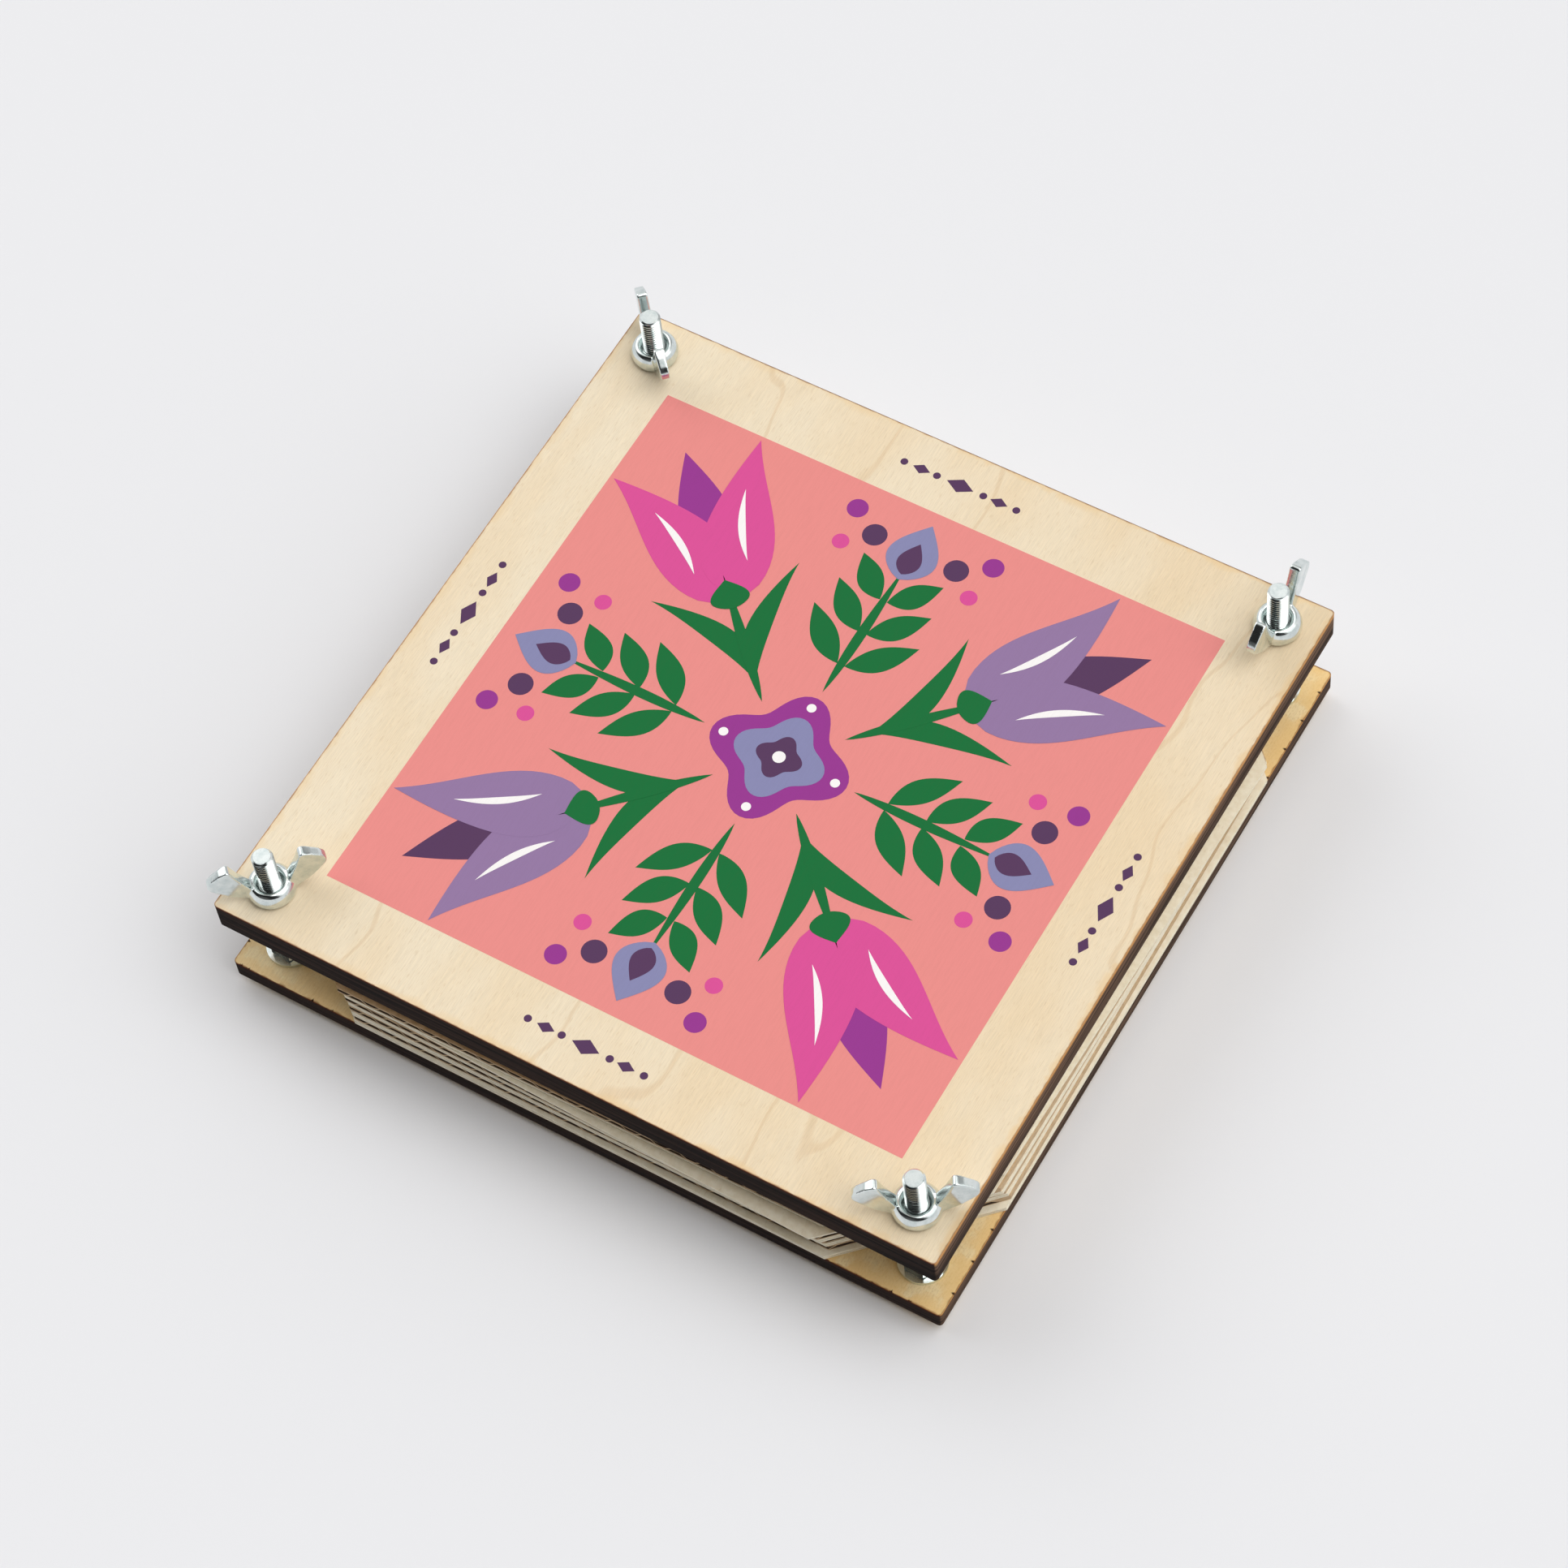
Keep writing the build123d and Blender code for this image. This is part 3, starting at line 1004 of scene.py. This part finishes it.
# %% Print the ground and the medallion
QUARTERS = (0, 90, 180, 270)
SQUARE = ((-1, -1), (1, -1), (1, 1), (-1, 1))
ground = [(x * panel_half, y * panel_half) for x, y in SQUARE]
stamp("salmon", 0, ground)
stamp("magenta", 1, lobed_outline(17.0, 0.16, 4))
stamp("mist", 2, lobed_outline(11.0, 0.14, 4))
stamp("plum", 3, lobed_outline(5.6, 0.14, 4))
stamp("white", 2, shifted(lobed_outline(1.1, 0.0, 1, count=20), 0, 14.2), QUARTERS)
stamp("white", 4, lobed_outline(1.5, 0.0, 1, count=20))
print("ground and medallion printed")

# %% [markdown]
# A tulip is printed from back to front: two long leaves, the stem, the heart, the two outer petals with a
# white vein on each, and the calyx that covers where they meet. Shapes that overlap lie on different
# layers, because two films at one level would flicker.

# %% Print the tulips on the diagonals
TULIPS = {"pink": ("magenta", (45, 225)), "lilac": ("plum", (135, 315))}
DIAGONALS = (45, 135, 225, 315)
HANDS = (-1, 1)
head_start = 44.0
stem_start = 15.0
for layer, hand in enumerate(HANDS, start=1):
    blade = leaf_outline(27.0, 6.4, lean=17.0 * hand)
    stamp("green", layer, shifted(blade, 0.2 * hand, stem_start + 6.0), DIAGONALS)
stamp("green", 3, shifted(leaf_outline(35.0, 2.6, belly=0.8), 0, stem_start), DIAGONALS)
for petal, (heart, turns) in TULIPS.items():
    stamp(heart, 1, shifted(leaf_outline(41.0, 13.0, belly=0.85), 0, head_start), turns)
    for layer, hand in enumerate(HANDS, start=2):
        side_petal = leaf_outline(40.0, 17.5, belly=0.66, lean=14.0 * hand)
        stamp(petal, layer, shifted(side_petal, 3.4 * hand, head_start - 1.0), turns)
        vein = leaf_outline(19.0, 1.8, lean=4.5 * hand)
        stamp("white", 4, shifted(vein, 6.2 * hand, head_start + 8.0), turns)
stamp("green", 5, shifted(leaf_outline(8.0, 9.0, belly=0.7), 0, head_start - 3.5), DIAGONALS)
print("tulips printed:", len(DIAGONALS))

# %% [markdown]
# A sprig has three pairs of leaves that grow shorter towards its bud, and berries beside the bud. One
# sprig is drawn, and the stamp repeats it on the four sides.

# %% Print the sprigs and berries
sprig_start = 19.0
leaf_pairs = 3
for i in range(leaf_pairs):
    station = sprig_start + 8.0 + 9.5 * i
    for hand in HANDS:
        spray = leaf_outline(17.0 - 2.0 * i, 6.2, belly=0.9, lean=-2.0 * hand)
        stamp("green", 1, shifted(spray, 0.9 * hand, station, turn=-54 * hand), QUARTERS)
stamp("green", 2, shifted(leaf_outline(38.0, 2.4, belly=0.8), 0, sprig_start), QUARTERS)
stamp("mist", 3, shifted(leaf_outline(16.0, 12.0, belly=0.75), 0, 52.5), QUARTERS)
stamp("plum", 4, shifted(leaf_outline(9.0, 5.6, belly=0.75), 0, 54.0), QUARTERS)
berries = (("plum", 10.5, 60.5, 2.9), ("magenta", 17.5, 65.0, 2.5), ("pink", 16.5, 55.5, 2.0))
for colour, x, y, radius in berries:
    for hand in HANDS:
        stamp(colour, 1, shifted(lobed_outline(radius, 0.0, 1, count=28), hand * x, y), QUARTERS)
print("sprigs printed:", len(QUARTERS))

# %% [markdown]
# The wooden margins carry a small row of lozenges and dots in plum on each side, centred between the
# panel and the edge. All shapes of one ink are then joined into one film, which rides on the top board.

# %% Print the margin ornaments and collect the inks
margin_middle = (panel_half + board_half / MM) / 2
lozenge = [(0, -1.9), (3.4, 0), (0, 1.9), (-3.4, 0)]
small_lozenge = [(0, -1.3), (2.2, 0), (0, 1.3), (-2.2, 0)]
dot = lobed_outline(0.9, 0.0, 1, count=20)
ornament = ((0.0, lozenge), (6.0, dot), (10.0, small_lozenge), (14.5, dot))
for x, outline in ornament:
    for hand in HANDS if x else (1,):
        stamp("plum", 0, shifted(outline, hand * x, margin_middle), QUARTERS)
for name, shapes in printed.items():
    film_piece = join(shapes, f"print_{name}")
    film_piece.data.materials.clear()
    film_piece.data.materials.append(inks[name])
    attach(film_piece, "top")
print("print films:", {name: len(shapes) for name, shapes in printed.items()})

# %% [markdown]
# ## Floor and light
# The press stands on a pale paper floor, in a room lit by soft windows and lamps. The shadows on the
# floor tell where the light comes from: a narrow dark one lies in front of the press, a broad faint one
# at each side, and none behind. So most light falls from high up on the right, some from the left, a
# little from behind, and the front of the room, where the camera stands, is dark. One large plane is
# enough for the floor, as the camera looks down on it.

# %% Set the floor
floor_size = 12.0
floor_colour = srgb(233, 233, 235)

bpy.ops.object.select_all(action="DESELECT")
bpy.ops.mesh.primitive_plane_add(size=floor_size)
floor = bpy.context.object
floor.name = "floor"
floor_material, floor_tree, floor_shader = new_material("pale_floor")
floor_shader.inputs["Base Color"].default_value = floor_colour
floor_shader.inputs["Roughness"].default_value = 0.9
floor_shader.inputs["Specular IOR Level"].default_value = 0.2
grit = noise(floor_tree, (1.2, 1.2, 1.2), detail=3.0)
floor_tree.links.new(bump(floor_tree, grit, 0.10, 0.10 * MM), floor_shader.inputs["Normal"])
floor.data.materials.append(floor_material)
print("floor set:", floor_size, "m")

# %% [markdown]
# The room is the world's background. Each window or lamp is a round patch in it, with a direction (its
# angle from the X axis and its height above the horizon, in degrees), a brightness and a soft rim. Area
# lamps would light the press as well, but bright metal mirrors them with hard edges. The soft patches
# draw the bands on the bolts and nuts as a real room does. The camera itself sees the floor's colour
# instead, which keeps the far background plain, and mirror rays see that colour near the horizon too.

# %% Set the room
PATCHES = (
    (7, 66, 2.42),
    (60, 66, 1.08),
    (120, 66, 0.30),
    (6, 40, 0.92),
    (135, 40, 0.67),
    (174, 40, 1.75),
    (4, 15, 0.47),
    (45, 15, 0.81),
    (90, 15, 0.48),
    (135, 15, 0.19),
    (270, 15, 0.09),
)
patch_middle = math.cos(math.radians(12))
patch_rim = math.cos(math.radians(32))
gloom = 0.02
wall_top = 0.30
wall_foot = 0.22

world = bpy.data.worlds.new("room")
bpy.context.scene.world = world
world.use_nodes = True
room = world.node_tree
room.nodes.clear()
towards = node(room, "ShaderNodeTexCoord").outputs["Generated"]
glow = gloom
for azimuth, elevation, brightness in PATCHES:
    a = math.radians(azimuth)
    e = math.radians(elevation)
    centre = (math.cos(e) * math.cos(a), math.cos(e) * math.sin(a), math.sin(e))
    facing = node(room, "ShaderNodeVectorMath", {0: towards, 1: centre}, operation="DOT_PRODUCT")
    patch = remap(room, facing.outputs["Value"], patch_rim, patch_middle, 0.0, brightness)
    glow = calc(room, "ADD", glow, patch)
walls = node(room, "ShaderNodeBackground", {"Color": glow, "Strength": 1.0})
seen = node(room, "ShaderNodeBackground", {"Color": floor_colour, "Strength": 1.0})
rays = node(room, "ShaderNodeLightPath").outputs
mirrored = calc(room, "MAXIMUM", rays["Is Glossy Ray"], rays["Is Transmission Ray"])
height = node(room, "ShaderNodeSeparateXYZ", {0: towards}).outputs["Z"]
low = remap(room, height, wall_foot, wall_top, 1.0, 0.0)
plain = calc(room, "MAXIMUM", rays["Is Camera Ray"], calc(room, "MULTIPLY", mirrored, low))
both = node(room, "ShaderNodeMixShader", {0: plain, 1: walls.outputs[0], 2: seen.outputs[0]})
node(room, "ShaderNodeOutputWorld", {"Surface": both.outputs[0]})
print("room set:", len(PATCHES), "patches of light")
